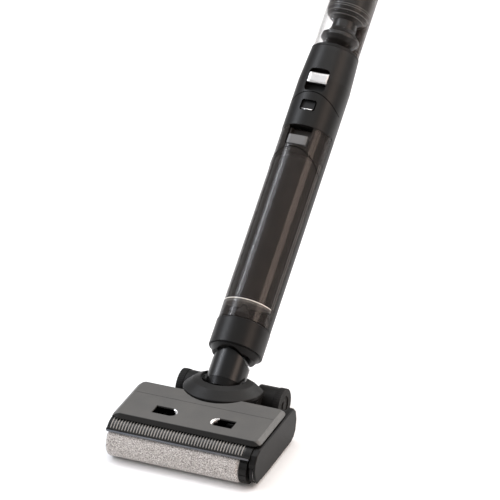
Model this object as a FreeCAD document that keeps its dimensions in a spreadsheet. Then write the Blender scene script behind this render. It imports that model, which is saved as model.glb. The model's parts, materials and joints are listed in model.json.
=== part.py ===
"""Cordless wet and dry floor scrubber: parametric model, millimetres, +Z up, -Y is the front.

The origin is on the floor under the middle of the head's rubber squeegee.
Pieces of the wand and of the hand unit are drawn upright about the steering pivot, with the
wand's axis along Z, and are then leaned back as one by their Placement.
"""
import FreeCAD, Part
import math
import os

import Sketcher

DIMENSIONS = {
    # roller
    "roller_radius": 26.5, "roller_back": 33.0, "core_radius": 19.0, "shaft_radius": 4.0,
    "cap_width": 13.0, "fabric_right": 103.0,
    # head
    "head_width": 260.0, "plate_width": 256.0, "plate_front": -31.0, "plate_rear": 88.0,
    "plate_top": 72.0, "plate_depth": 6.5, "bevel_run": 7.0, "bevel_drop": 6.0,
    "skin": 2.5, "gap": 0.4, "shell_rear": 116.0, "shell_foot": 4.0, "shell_top": 58.0,
    "cover_width": 11.0, "arm_width": 3.0,
    # window over the roller
    "window_radius": 28.5, "window_wall": 2.2, "window_right": 108.0,
    # finger latches
    "latch_centre": 40.0, "latch_radius": 11.5, "latch_y": 8.0, "cutout_end": 69.0,
    # drive
    "motor_y": 34.0, "motor_z": 36.0, "motor_radius": 17.0, "roller_pulley": 19.0,
    "motor_pulley": 8.0, "belt_thickness": 1.4,
    # rear axle
    "axle_y": 162.6, "wheel_radius": 27.8, "wheel_width": 11.0, "rear_width": 181.0,
    "drum_inner": 46.0, "axle_radius": 4.0,
    # neck
    "tilt_y": 128.8, "tilt_z": 65.4, "tilt_to_steer": 16.0, "pin_radius": 5.0,
    "steer_pin_radius": 4.0, "running": 0.05, "cheek_inner": 32.0, "neck_radius": 31.6,
    "neck_top": 36.0, "neck_waist": -15.0, "neck_foot": -27.0,
    # dome round the neck, which leans back a little
    "dome_y": 125.0, "dome_z": 64.0, "dome_lean": 10.0, "dome_radius": 65.3, "dome_wall": 6.0,
    "dome_height": 16.0, "hole_radius": 36.7, "dome_rear": 143.0,
    # wand, measured along its axis from the steering pivot
    "wand_lean": 51.8, "wand_radius": 44.8, "collar_radius": 45.3, "collar_foot": 42.0,
    "tank_foot": 87.0, "ring_foot": 115.5, "tank_head": 438.0, "panel_head": 499.5,
    "panel_arch": 57.0, "lid_head": 397.5, "lid_arch": 47.0, "pocket_foot": 501.5,
    "cup_foot": 589.0, "spine_front": -6.0, "tank_wall": 2.4,
    # hand unit
    "cup_radius": 39.8, "cup_head": 739.0, "cup_wall": 1.8, "motor_head": 856.0,
    "grip_head": 1020.0, "grip_radius": 17.0,
}
CORNER_ROUND = 14.0
GRIP_FLUTES = 14
DUCT_OUTER = 14.0
DUCT_HEIGHT = 30.0
SCREW_X = (-100.0, -60.0)
SCREW_Y = (30.0, 100.0)
BLADE_REACH = 12.0
BLADE_HALF = 0.8
FAN_OFFSET = -6.0
COIL_WIRE = 0.4
ACROSS = (-60.0, 60.0)  # wider than the wand, for the blocks that trim it
SHEET_NAME = "dims"

doc = FreeCAD.newDocument("floor_scrubber")
sheet = doc.addObject("Spreadsheet::Sheet", SHEET_NAME)
for row, (alias, number) in enumerate(DIMENSIONS.items(), start=1):
    sheet.set("A%d" % row, alias)
    sheet.set("B%d" % row, str(number))
    sheet.setAlias("B%d" % row, alias)
doc.recompute()


class Size:
    """A length that knows both its number and the sheet formula that drives it."""

    def __init__(self, value, formula=None):
        self.value = float(value)
        self.formula = formula if formula is not None else repr(float(value))

    def __add__(self, other):
        other = as_size(other)
        return Size(self.value + other.value, "(%s + %s)" % (self.formula, other.formula))

    def __sub__(self, other):
        other = as_size(other)
        return Size(self.value - other.value, "(%s - %s)" % (self.formula, other.formula))

    def __mul__(self, factor):
        factor = as_size(factor)
        return Size(self.value * factor.value, "(%s * %s)" % (self.formula, factor.formula))

    def __truediv__(self, factor):
        factor = as_size(factor)
        return Size(self.value / factor.value, "(%s / %s)" % (self.formula, factor.formula))

    def __neg__(self):
        return Size(-self.value, "(-1 * %s)" % self.formula)

    def __radd__(self, other):
        return as_size(other) + self

    def __rsub__(self, other):
        return as_size(other) - self


def as_size(value):
    return value if isinstance(value, Size) else Size(value)


def sine(angle):
    return Size(math.sin(math.radians(angle.value)), "sin(%s * 1 deg)" % angle.formula)


def cosine(angle):
    return Size(math.cos(math.radians(angle.value)), "cos(%s * 1 deg)" % angle.formula)


class Dimensions:
    """Reads the sheet: d.roller_radius is a Size bound to that cell."""

    def __getattr__(self, alias):
        return Size(DIMENSIONS[alias], "%s.%s" % (SHEET_NAME, alias))


d = Dimensions()
vector = FreeCAD.Vector
PARTS = []
TURNS = {
    "x": FreeCAD.Rotation(vector(0, 1, 0), 90),
    "y": FreeCAD.Rotation(vector(1, 0, 0), -90),
    "z": FreeCAD.Rotation(),
}
ORDER = "xyz"


def bind(item, **sizes):
    """Bind properties of an object to the sheet."""
    for name, size in sizes.items():
        item.setExpression(name, as_size(size).formula)
    return item


def put(item, position, rotation=None):
    """Bind an object's position, after an optional fixed turn."""
    if rotation is not None:
        item.Placement = FreeCAD.Placement(vector(), rotation)
    for letter, size in zip(ORDER, position):
        item.setExpression("Placement.Base." + letter, as_size(size).formula)
    return item


def block(x, y, z):
    """A box from its lower and upper limit on each axis."""
    item = doc.addObject("Part::Box", "block")
    low = [as_size(span[0]) for span in (x, y, z)]
    high = [as_size(span[1]) for span in (x, y, z)]
    bind(item, Length=high[0] - low[0], Width=high[1] - low[1], Height=high[2] - low[2])
    return put(item, low)


def along(axis, start, centre):
    """The point at start along one axis, with the two other coordinates from centre."""
    point = list(centre)
    point.insert(ORDER.index(axis), start)
    return point


def rod(axis, radius, span, centre=(0, 0)):
    """A cylinder along x, y or z."""
    item = doc.addObject("Part::Cylinder", "rod")
    bind(item, Radius=radius, Height=as_size(span[1]) - span[0])
    return put(item, along(axis, span[0], centre), TURNS[axis])


def cone(axis, first_radius, last_radius, span, centre=(0, 0)):
    """A truncated cone along x, y or z."""
    item = doc.addObject("Part::Cone", "cone")
    bind(item, Radius1=first_radius, Radius2=last_radius, Height=as_size(span[1]) - span[0])
    return put(item, along(axis, span[0], centre), TURNS[axis])


def cut(base, *tools):
    item = doc.addObject("Part::Cut", "cut")
    item.Base = base
    item.Tool = tools[0] if len(tools) == 1 else fuse(*tools)
    return item


def fuse(*pieces):
    item = doc.addObject("Part::MultiFuse", "fuse")
    item.Shapes = list(pieces)
    return item


def common(first, *others):
    """What all the given shapes share."""
    shared = first
    for other in others:
        item = doc.addObject("Part::Common", "common")
        item.Base = shared
        item.Tool = other
        shared = item
    return shared


def group(*pieces):
    """Several separate solids, or one placed solid, as one object."""
    item = doc.addObject("Part::Compound", "group")
    item.Links = list(pieces)
    return item


def tube(axis, outer, inner, span, centre=(0, 0)):
    """A straight tube, open at both ends."""
    through = (span[0] - as_size(1), span[1] + as_size(1))
    return cut(rod(axis, outer, span, centre), rod(axis, inner, through, centre))


def body_plane(body, role):
    """One of a body's own origin planes or axes."""
    return [feature for feature in body.Origin.OriginFeatures if feature.Role == role][0]


def outline(body, role, points):
    """A closed outline of straight edges whose corners are bound to the sheet."""
    drawing = body.newObject("Sketcher::SketchObject", "outline")
    drawing.AttachmentSupport = (body_plane(body, role), [""])
    drawing.MapMode = "FlatFace"
    corners = [(as_size(across), as_size(up)) for across, up in points]
    count = len(corners)
    for index in range(count):
        start = vector(corners[index][0].value, corners[index][1].value, 0)
        following = corners[(index + 1) % count]
        drawing.addGeometry(Part.LineSegment(start, vector(following[0].value, following[1].value, 0)), False)
    for index in range(count):
        drawing.addConstraint(Sketcher.Constraint("Coincident", index, 2, (index + 1) % count, 1))
    for index, corner in enumerate(corners):
        for kind, size in zip(("DistanceX", "DistanceY"), corner):
            number = drawing.addConstraint(Sketcher.Constraint(kind, -1, 1, index, 1, size.value))
            drawing.setExpression("Constraints[%d]" % number, size.formula)
    return drawing


def slab(points, x):
    """An outline in the YZ plane, made thick along X between two limits."""
    body = doc.addObject("PartDesign::Body", "slab")
    drawing = outline(body, "YZ_Plane", points)
    pad = body.newObject("PartDesign::Pad", "pad")
    pad.Profile = drawing
    pad.setExpression("Length", (as_size(x[1]) - x[0]).formula)
    return put(body, (x[0], 0, 0))


def plank(points, z):
    """An outline in the XY plane, made thick along Z between two limits."""
    body = doc.addObject("PartDesign::Body", "plank")
    drawing = outline(body, "XY_Plane", points)
    pad = body.newObject("PartDesign::Pad", "pad")
    pad.Profile = drawing
    pad.setExpression("Length", (as_size(z[1]) - z[0]).formula)
    return put(body, (0, 0, z[0]))


def spun(points):
    """A round piece: an outline of (radius, height) points turned about Z."""
    body = doc.addObject("PartDesign::Body", "spun")
    drawing = outline(body, "XZ_Plane", points)
    turn = body.newObject("PartDesign::Revolution", "turn")
    turn.Profile = drawing
    turn.ReferenceAxis = (drawing, ["V_Axis"])
    turn.Angle = 360
    return body


def rounded(item, radius, chosen):
    """Round the edges of an object that the test picks."""
    doc.recompute()
    fillet = doc.addObject("Part::Fillet", "rounded")
    fillet.Base = item
    edges = enumerate(item.Shape.Edges, start=1)
    fillet.Edges = [(index, radius, radius) for index, edge in edges if chosen(edge)]
    return fillet


def upright(edge):
    """True for a straight edge along Z."""
    ends = [vertex.Point for vertex in edge.Vertexes]
    if len(ends) != 2:
        return False
    return abs(ends[0].x - ends[1].x) < 0.01 and abs(ends[0].y - ends[1].y) < 0.01


def spring(axis, radius, wire, span, centre, turns):
    """A compression spring along x, y or z."""
    helix = doc.addObject("Part::Helix", "helix")
    length = as_size(span[1]) - span[0] - as_size(2 * wire)
    bind(helix, Height=length, Pitch=length / turns, Radius=radius)
    ring = doc.addObject("Part::Circle", "ring")
    ring.Radius = wire
    ring.Placement = FreeCAD.Placement(vector(radius, 0, 0), FreeCAD.Rotation(vector(1, 0, 0), 90))
    sweep = doc.addObject("Part::Sweep", "coil")
    sweep.Sections = [ring]
    sweep.Spine = (helix, ["Edge1"])
    sweep.Solid = True
    sweep.Frenet = True
    return put(sweep, along(axis, as_size(span[0]) + wire, centre), TURNS[axis])


def part(label, item):
    """Name a finished sub-part."""
    item.Label = label
    PARTS.append(item)
    return item


STEER_Y = d.tilt_y + d.tilt_to_steer * sine(d.wand_lean)
STEER_Z = d.tilt_z + d.tilt_to_steer * cosine(d.wand_lean)


def on_wand(label, item):
    """Name a finished sub-part that was drawn about the wand's upright axis, and lean it back."""
    if item.TypeId not in ("Part::Cut", "Part::MultiFuse", "Part::MultiCommon", "Part::Compound"):
        item = group(item)
    put(item, (0, STEER_Y, STEER_Z), FreeCAD.Rotation(vector(1, 0, 0), -1))
    item.setExpression("Placement.Rotation.Angle", "(-1 * %s) * 1 deg" % d.wand_lean.formula)
    return part(label, item)


ROLLER_Y = -d.roller_back
ROLLER_AT = (ROLLER_Y, d.roller_radius)
MOTOR_AT = (d.motor_y, d.motor_z)
AXLE_AT = (d.axle_y, d.wheel_radius)
TILT_AT = (d.tilt_y, d.tilt_z)
HALF = d.head_width / 2
FABRIC_LEFT = -HALF + d.arm_width + d.gap
WALL_RIGHT = HALF - d.cover_width


def make_roller():
    """Plush roller: core, fabric, ribbed end cap, shaft with its pulley."""
    cap_right = d.fabric_right + d.cap_width
    sleeve = (FABRIC_LEFT, d.fabric_right)
    part("roller_core", tube("x", d.core_radius - 0.1, d.shaft_radius + 9, sleeve, ROLLER_AT))
    part("roller_fabric", tube("x", d.roller_radius, d.core_radius, sleeve, ROLLER_AT))
    grip = rod("x", d.roller_radius - 2, (d.fabric_right + 0.2, cap_right), ROLLER_AT)
    grooves = []
    for index in range(GRIP_FLUTES):
        angle = 2 * math.pi * index / GRIP_FLUTES
        reach = d.roller_radius - 1.6
        centre = (ROLLER_Y + reach * math.cos(angle), d.roller_radius + reach * math.sin(angle))
        grooves.append(rod("x", 1.5, (d.fabric_right + 2, cap_right + 1), centre))
    bore = rod("x", d.shaft_radius, (d.fabric_right, cap_right + 1), ROLLER_AT)
    part("roller_end_cap", cut(grip, bore, *grooves))
    left_web = rod("x", d.core_radius - 6.2, (FABRIC_LEFT + 4, FABRIC_LEFT + 10), ROLLER_AT)
    right_web = rod("x", d.core_radius - 6.2, (d.fabric_right - 10, d.fabric_right - 4), ROLLER_AT)
    shaft = rod("x", d.shaft_radius, (-HALF + 0.6, HALF - 3.4), ROLLER_AT)
    pulley = rod("x", d.roller_pulley, (WALL_RIGHT + 1.4, HALF - 4), ROLLER_AT)
    part("roller_shaft", fuse(shaft, left_web, right_web, pulley))


def belt_loop(growth):
    """The face inside a belt that runs round both pulleys, grown outward."""
    near = vector(0, ROLLER_AT[0].value, ROLLER_AT[1].value)
    far = vector(0, MOTOR_AT[0].value, MOTOR_AT[1].value)
    radii = (d.roller_pulley.value + growth, d.motor_pulley.value + growth)
    span = far - near
    heading = math.atan2(span.z, span.y)
    spread = math.acos((radii[0] - radii[1]) / span.Length)

    def rim(centre, radius, angle):
        return centre + vector(0, radius * math.cos(angle), radius * math.sin(angle))

    top_near = rim(near, radii[0], heading + spread)
    back_near = rim(near, radii[0], heading + math.pi)
    low_near = rim(near, radii[0], heading - spread)
    top_far = rim(far, radii[1], heading + spread)
    back_far = rim(far, radii[1], heading)
    low_far = rim(far, radii[1], heading - spread)
    edges = [
        Part.Arc(top_near, back_near, low_near).toShape(),
        Part.LineSegment(low_near, low_far).toShape(),
        Part.Arc(low_far, back_far, top_far).toShape(),
        Part.LineSegment(top_far, top_near).toShape(),
    ]
    return Part.Face(Part.Wire(edges))


def make_drive():
    """Roller motor in the head, its pulley, the belt and the wall that carries them."""
    motor_left = HALF - 86
    motor_right = WALL_RIGHT - 5.2
    casing = rod("x", d.motor_radius, (motor_left, motor_right), MOTOR_AT)
    nose = rod("x", 7, (motor_right - 1, motor_right + 4), MOTOR_AT)
    bore = rod("x", 2.55, (motor_right - 8, motor_right + 5), MOTOR_AT)
    part("roller_motor", cut(fuse(casing, nose), bore))
    spindle = rod("x", 2.5, (motor_right - 7, HALF - 3.6), MOTOR_AT)
    wheel = rod("x", d.motor_pulley, (WALL_RIGHT + 1.4, HALF - 4), MOTOR_AT)
    part("motor_pulley", fuse(spindle, wheel))
    belt = doc.addObject("Part::Feature", "belt")
    inner = belt_loop(d.gap.value)
    outer = belt_loop(d.gap.value + d.belt_thickness.value)
    width = vector((HALF - WALL_RIGHT).value - 6, 0, 0)
    belt.Shape = outer.extrude(width).cut(inner.extrude(width))
    belt.Placement = FreeCAD.Placement(vector(WALL_RIGHT.value + 1.6, 0, 0), FreeCAD.Rotation())
    part("drive_belt", belt)
    bearing_left = tube("x", 7.5, d.shaft_radius + d.running, (-HALF + 0.6, -HALF + d.arm_width), ROLLER_AT)
    bearing_right = tube("x", 9, d.shaft_radius + d.running, (WALL_RIGHT - 2.4, WALL_RIGHT), ROLLER_AT)
    part("roller_bearings", group(bearing_left, bearing_right))


SIDE_OUTLINE = [(-29.0, 61.5), (-42.0, 56.5), (-51.0, 46.0), (-53.5, 32.0), (-50.0, 18.0), (-42.0, 6.5),
                (-10.0, 4.5), (95.0, 5.5), (106.0, 9.0), (115.0, 18.0), (119.5, 36.0), (117.0, 52.0),
                (110.0, 60.0), (96.0, 61.5)]
ARM_OUTLINE = [(-30.0, 42.0), (-41.0, 38.0), (-46.0, 27.0), (-42.0, 15.0), (-30.0, 9.0), (95.0, 5.5),
               (108.0, 12.0), (114.0, 30.0), (112.0, 50.0), (100.0, 58.0), (-4.0, 58.0)]
DRIVE_WALL_OUTLINE = [(-30.0, 50.0), (-44.0, 42.0), (-48.0, 28.0), (-42.0, 12.0), (-30.0, 7.0), (95.0, 7.0),
                      (110.0, 22.0), (112.0, 46.0), (104.0, 56.0), (-20.0, 56.0)]


def make_sides():
    """The cover of the belt drive."""
    skin = slab(SIDE_OUTLINE, (WALL_RIGHT + 0.2, HALF))
    pocket = (WALL_RIGHT - 1, HALF - d.skin)
    roller_room = rod("x", d.roller_pulley + 4, pocket, ROLLER_AT)
    motor_room = rod("x", d.motor_pulley + 8, pocket, MOTOR_AT)
    belt_room = block(pocket, (ROLLER_Y, d.motor_y), (8.5, 50))
    rear_room = block(pocket, (60, 104), (14, 52))
    body = rounded(skin, 2.2, lambda edge: edge.BoundBox.XMin > HALF.value - 0.01)
    part("side_cover", cut(body, roller_room, motor_room, belt_room, rear_room))


def base_sides():
    """The base's own side walls, and the bores in them for the bearings and the motor."""
    wall = slab(DRIVE_WALL_OUTLINE, (WALL_RIGHT - 2.4, WALL_RIGHT))
    arm = slab(ARM_OUTLINE, (-HALF, -HALF + d.arm_width))
    roller_hole = rod("x", 9, (WALL_RIGHT - 4, WALL_RIGHT + 1), ROLLER_AT)
    motor_hole = rod("x", 7.2, (WALL_RIGHT - 6, WALL_RIGHT + 1), MOTOR_AT)
    arm_hole = rod("x", 7.5, (-HALF + 0.6, -HALF + d.arm_width + 1), ROLLER_AT)
    return (wall, arm), (roller_hole, motor_hole, arm_hole)


def make_base():
    """The head's lower shell with its duct, squeegee, scraper and spray bar."""
    left = -HALF + d.arm_width - 0.1
    right = WALL_RIGHT - 2.3
    front = Size(-5)
    shell = block((left, right), (front, d.shell_rear), (d.shell_foot, d.shell_top))
    room = block((left + d.skin, right - d.skin), (front + 2.6, d.shell_rear - d.skin), (7, d.shell_top + 1))
    slot = block((-HALF + 12, right - 5), (-1.8, 1.8), (0, 12))
    rail = block((left + d.skin, right - d.skin), (-2.4, 6), (12, 15))
    mouth = rod("y", DUCT_OUTER - 2, (-6, 8), (0, DUCT_HEIGHT))
    rear_hole = rod("y", DUCT_OUTER + 0.2, (d.shell_rear - 4, d.shell_rear + 1), (0, DUCT_HEIGHT))
    deck_front = d.plate_rear + 1
    deck_crest = d.plate_rear + 4
    rear_top = d.shell_top - 9
    past_rear = d.shell_rear + 1
    above = d.shell_top + 1
    fall = [(deck_crest, d.shell_top), (past_rear, rear_top - 0.4), (past_rear, above), (deck_crest, above)]
    slope = slab(fall, (left - 10, right + 10))
    below = d.shell_top - d.skin
    deck_outline = [(deck_front, below), (deck_crest, below), (d.shell_rear, rear_top - d.skin),
                   (d.shell_rear, d.shell_top), (deck_front, d.shell_top)]
    deck = slab(deck_outline, (left, right))
    cradle = block((HALF - 80, right - 8), (d.motor_y - 14, d.motor_y + 14), (6, 19.4))
    motor_seat = rod("x", d.motor_radius + 0.2, (HALF - 90, HALF), MOTOR_AT)
    keep = cut(cradle, motor_seat)
    walls, wall_bores = base_sides()
    body = fuse(cut(shell, room), rail, deck, keep, *walls)
    bosses = [rod("z", 3.5, (6, d.shell_top - 6), (x, y)) for x in SCREW_X for y in SCREW_Y]
    neck_room = rod("x", 35, (-d.cheek_inner - 1, d.cheek_inner + 1), TILT_AT)
    part("head_base", cut(fuse(body, *bosses), slope, slot, mouth, rear_hole, neck_room, *wall_bores))
    part("squeegee", block((-HALF + 12.4, right - 5.4), (-1.6, 1.6), (0, 11.8)))
    part("suction_duct", tube("y", DUCT_OUTER, DUCT_OUTER - 2, (-2, 122), (0, DUCT_HEIGHT)))
    part("roller_scraper", block((left + 4, d.fabric_right), (-9.4, -5.2), (41, 44)))
    pipe = rod("x", 3.5, (left + 6, d.fabric_right - 4), (-17, 57))
    jets = [cone("z", 1.2, 2.4, (51, 55), (x, -17)) for x in range(-100, 101, 40)]
    part("spray_bar", fuse(pipe, *jets))
    heads = [rod("z", 3, (2.6, 4), (x, y)) for x in SCREW_X for y in SCREW_Y]
    part("base_screws", group(*heads))


def wedge(radius, start, sweep, x, centre):
    """A slice of a cylinder along X; angles run from +Y towards +Z."""
    item = doc.addObject("Part::Cylinder", "wedge")
    bind(item, Radius=radius, Height=as_size(x[1]) - x[0])
    item.Angle = sweep
    turn = FreeCAD.Rotation(vector(1, 0, 0), start + 90).multiply(TURNS["x"])
    return put(item, along("x", x[0], centre), turn)


WINDOW_START, WINDOW_SWEEP = 82.0, 58.0
WINDOW_AT = (ROLLER_Y + 8, d.roller_radius + 8)


def window_arc(outer, wall, x):
    """A strip of the arched cover over the roller."""
    shell = wedge(outer, WINDOW_START, WINDOW_SWEEP, x, WINDOW_AT)
    return cut(shell, rod("x", outer - wall, (x[0] - as_size(1), x[1] + as_size(1)), WINDOW_AT))


def make_roller_cover():
    """Lift-off cover: grey plate with finger cutouts, arched window and its frame."""
    half_plate = d.plate_width / 2
    corners = [(-half_plate, d.plate_front), (half_plate, d.plate_front),
               (half_plate, d.plate_rear), (-half_plate, d.plate_rear)]
    slab_top = plank(corners, (d.plate_top - d.plate_depth, d.plate_top))
    doc.recompute()
    pad = slab_top.Tip
    posts = ["Edge%d" % index for index, edge in enumerate(pad.Shape.Edges, start=1) if upright(edge)]
    fillet = slab_top.newObject("PartDesign::Fillet", "corner_round")
    fillet.Base = (pad, posts)
    fillet.Radius = CORNER_ROUND
    slab_top.Tip = fillet
    doc.recompute()
    top = d.plate_depth.value - 0.01
    edges = enumerate(fillet.Shape.Edges, start=1)
    rim = ["Edge%d" % index for index, edge in edges if edge.BoundBox.ZMin > top]
    chamfer = slab_top.newObject("PartDesign::Chamfer", "bevel")
    chamfer.Base = (fillet, rim)
    chamfer.ChamferType = "Two distances"
    chamfer.setExpression("Size", d.bevel_drop.formula)
    chamfer.setExpression("Size2", d.bevel_run.formula)
    slab_top.Tip = chamfer
    hollow = block((-half_plate + 11, half_plate - 11), (d.plate_front + 12, d.plate_rear - 11),
                   (d.plate_top - d.plate_depth - 1, d.plate_top - 2.6))
    recess = rod("z", d.dome_radius + 1.7, (50, 90), (0, d.dome_y))
    crease = block((-half_plate, half_plate), (46.6, 47.4), (d.plate_top - 0.4, d.plate_top + 1))
    openings = []
    for side in (-1, 1):
        inner, outer = sorted((d.latch_centre.value * side, d.cutout_end.value * side))
        openings.append(rod("z", d.latch_radius, (60, 80), (d.latch_centre * side, d.latch_y)))
        width = (d.latch_y - d.latch_radius, d.latch_y + d.latch_radius)
        openings.append(block((inner, outer), width, (60, 80)))
    part("top_plate", cut(slab_top, hollow, recess, crease, *openings))
    left = -half_plate + 0.5
    right = WALL_RIGHT - 0.4
    strip = (left + 4, d.window_right)
    part("roller_window", window_arc(d.window_radius, d.window_wall, strip))
    left_end = window_arc(d.window_radius + 0.3, 2.8, (left, strip[0] - 0.1))
    right_end = window_arc(d.window_radius + 0.3, 2.8, (strip[1] + 0.1, right))
    tie = block((left, right), (-25, -19.5), (63.2, d.plate_top - d.plate_depth))
    lip_angle = math.radians(WINDOW_START + WINDOW_SWEEP)
    reach = d.window_radius - 0.4
    lip_y = WINDOW_AT[0] + reach * math.cos(lip_angle)
    lip_z = WINDOW_AT[1] + reach * math.sin(lip_angle)
    bar = block((left, right), (lip_y - 2.8, lip_y + 0.4), (lip_z - 1.6, lip_z + 2.2))
    lip = cut(bar, rod("x", d.window_radius + 0.05, (left - 1, right + 1), WINDOW_AT))
    part("window_frame", fuse(left_end, right_end, tie, lip))


def make_latches():
    """Two finger latches that slide towards each other, and the spring between them."""
    for side, name in ((-1, "left"), (1, "right")):
        limits = sorted((side * 19.0, side * 36.5))
        tab = block(limits, (d.latch_y - 10.8, d.latch_y + 10.8), (63, 68.8))
        finger = rod("z", 9.5, (60, 72), (side * 41.0, d.latch_y))
        part("latch_" + name, cut(tab, finger))
    part("latch_spring", spring("x", 2.2, 0.35, (-18.7, 18.7), (d.latch_y, 66), 10))


def make_rear():
    """Rear axle with drums, wheels, and the frame that carries the neck."""
    half_rear = d.rear_width / 2
    wheel_inner = half_rear - d.wheel_width
    drum_outer = wheel_inner - d.gap
    drums = []
    for side in (-1, 1):
        span = sorted((side * d.drum_inner.value, side * drum_outer.value))
        drums.append(rod("x", d.wheel_radius - 0.8, span, AXLE_AT))
    beam = block((-d.drum_inner - 1, d.drum_inner + 1), (d.axle_y - 15, d.axle_y + 13), (14, 32))
    bore = rod("x", d.axle_radius + d.running, (-half_rear, half_rear), AXLE_AT)
    part("rear_axle", rod("x", d.axle_radius, (-half_rear + 1.5, half_rear - 1.5), AXLE_AT))
    for side, name in ((-1, "left"), (1, "right")):
        span = sorted((side * wheel_inner.value, side * half_rear.value))
        disc = rod("x", d.wheel_radius, span, AXLE_AT)
        dish = rod("x", 16, sorted((side * (half_rear.value - 2), side * (half_rear.value + 1))), AXLE_AT)
        hole_span = sorted((side * 60, side * (half_rear.value - 1.2)))
        hole = rod("x", d.axle_radius + d.running, hole_span, AXLE_AT)
        part("wheel_" + name, cut(disc, cut(dish, rod("x", 6, (-200, 200), AXLE_AT)), hole))
    lug_rear = d.tilt_y + 8
    cheek = [(d.shell_rear, 12), (149, 12), (149, 34), (lug_rear + 2, 52), (lug_rear, d.tilt_z + 6),
             (d.tilt_y + 3, d.tilt_z + 9), (d.tilt_y - 6, d.tilt_z + 7), (d.shell_rear + 1, 58),
             (d.shell_rear, 50)]
    cheeks = [slab(cheek, (x, x + as_size(5))) for x in (-d.cheek_inner - 5, d.cheek_inner)]
    floor = block((-d.cheek_inner - 5, d.cheek_inner + 5), (d.shell_rear, 149.4), (12, 16))
    wing = block(ACROSS, (d.shell_rear, 130), (22, 50))
    duct_hole = rod("y", DUCT_OUTER + 0.3, (90, 160), (0, DUCT_HEIGHT))
    middle = block((-d.cheek_inner, d.cheek_inner), (118.8, 140), (16, 80))
    neck_room = rod("x", 35, (-d.cheek_inner, d.cheek_inner), TILT_AT)
    pin_hole = rod("x", d.pin_radius, (-60, 60), TILT_AT)
    shoulder = [(d.shell_rear, 22), (150, 22), (178, 30), (176, 46), (162, 51), (146, 53), (d.shell_rear, 50)]
    shoulders = [slab(shoulder, (x, x + as_size(21))) for x in (-60, 39)]
    frame = fuse(floor, wing, beam, *cheeks, *drums, *shoulders)
    part("rear_frame", cut(frame, duct_hole, middle, neck_room, pin_hole, bore))
    pin = rod("x", d.pin_radius, (-d.cheek_inner - 5, d.cheek_inner + 5), TILT_AT)
    part("tilt_pin", pin)


def make_dome():
    """The dome round the neck; it leans back and is open behind."""
    skin = Size(2.6)
    waist = d.dome_radius - 16
    crown = d.dome_height
    profile = [(d.dome_radius - 0.2, -d.dome_wall), (d.dome_radius, -1), (d.dome_radius - 0.8, 0),
               (waist, crown - 4.5), (d.hole_radius + 1.6, crown), (d.hole_radius, crown - 1.2),
               (d.hole_radius, crown - 4), (waist - 1, crown - 4.5 - skin), (d.dome_radius - skin, -1.8),
               (d.dome_radius - skin - 0.2, -d.dome_wall)]
    dome = spun(profile)
    put(dome, (0, d.dome_y, d.dome_z), FreeCAD.Rotation(vector(1, 0, 0), -1))
    dome.setExpression("Placement.Rotation.Angle", "(-1 * %s) * 1 deg" % d.dome_lean.formula)
    part("neck_bezel", cut(dome, block((-80, 80), (d.dome_rear, 240), (20, 120))))


def make_neck():
    """The neck between the tilt pin and the steering pin."""
    pivot = -d.tilt_to_steer
    foot = d.neck_foot
    waist = d.neck_waist
    profile = [(0, foot), (d.neck_radius - 4, foot), (d.neck_radius - 0.6, waist),
               (d.neck_radius, waist + 0.6), (d.neck_radius, d.neck_top), (0, d.neck_top)]
    head = fuse(rod("y", d.neck_top, (-40, 40)), block((-40, 40), (-40, 40), (-60, 0)))
    knuckle = rod("x", 11, (-d.cheek_inner + 0.5, d.cheek_inner - 0.5), (0, pivot))
    slot = block((-24, 24), (-7.3, 7.3), (-8, d.neck_top + 1))
    pin_bore = rod("y", d.steer_pin_radius, (-27, 40))
    tilt_bore = rod("x", d.pin_radius + d.running, (-40, 40), (0, pivot))
    body = cut(fuse(common(spun(profile), head), knuckle), slot, pin_bore, tilt_bore)
    on_wand("neck_body", body)
    on_wand("steer_pin", rod("y", d.steer_pin_radius, (-27, 27)))


def arch(crown, radius, growth):
    """A block with a round-arched top, seen from the front; its crown is at that station."""
    spring_line = crown - radius
    top = rod("y", radius + growth, (-70, 70), (0, spring_line))
    return fuse(top, block(ACROSS, (-70, 70), (0, spring_line)))


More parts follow.
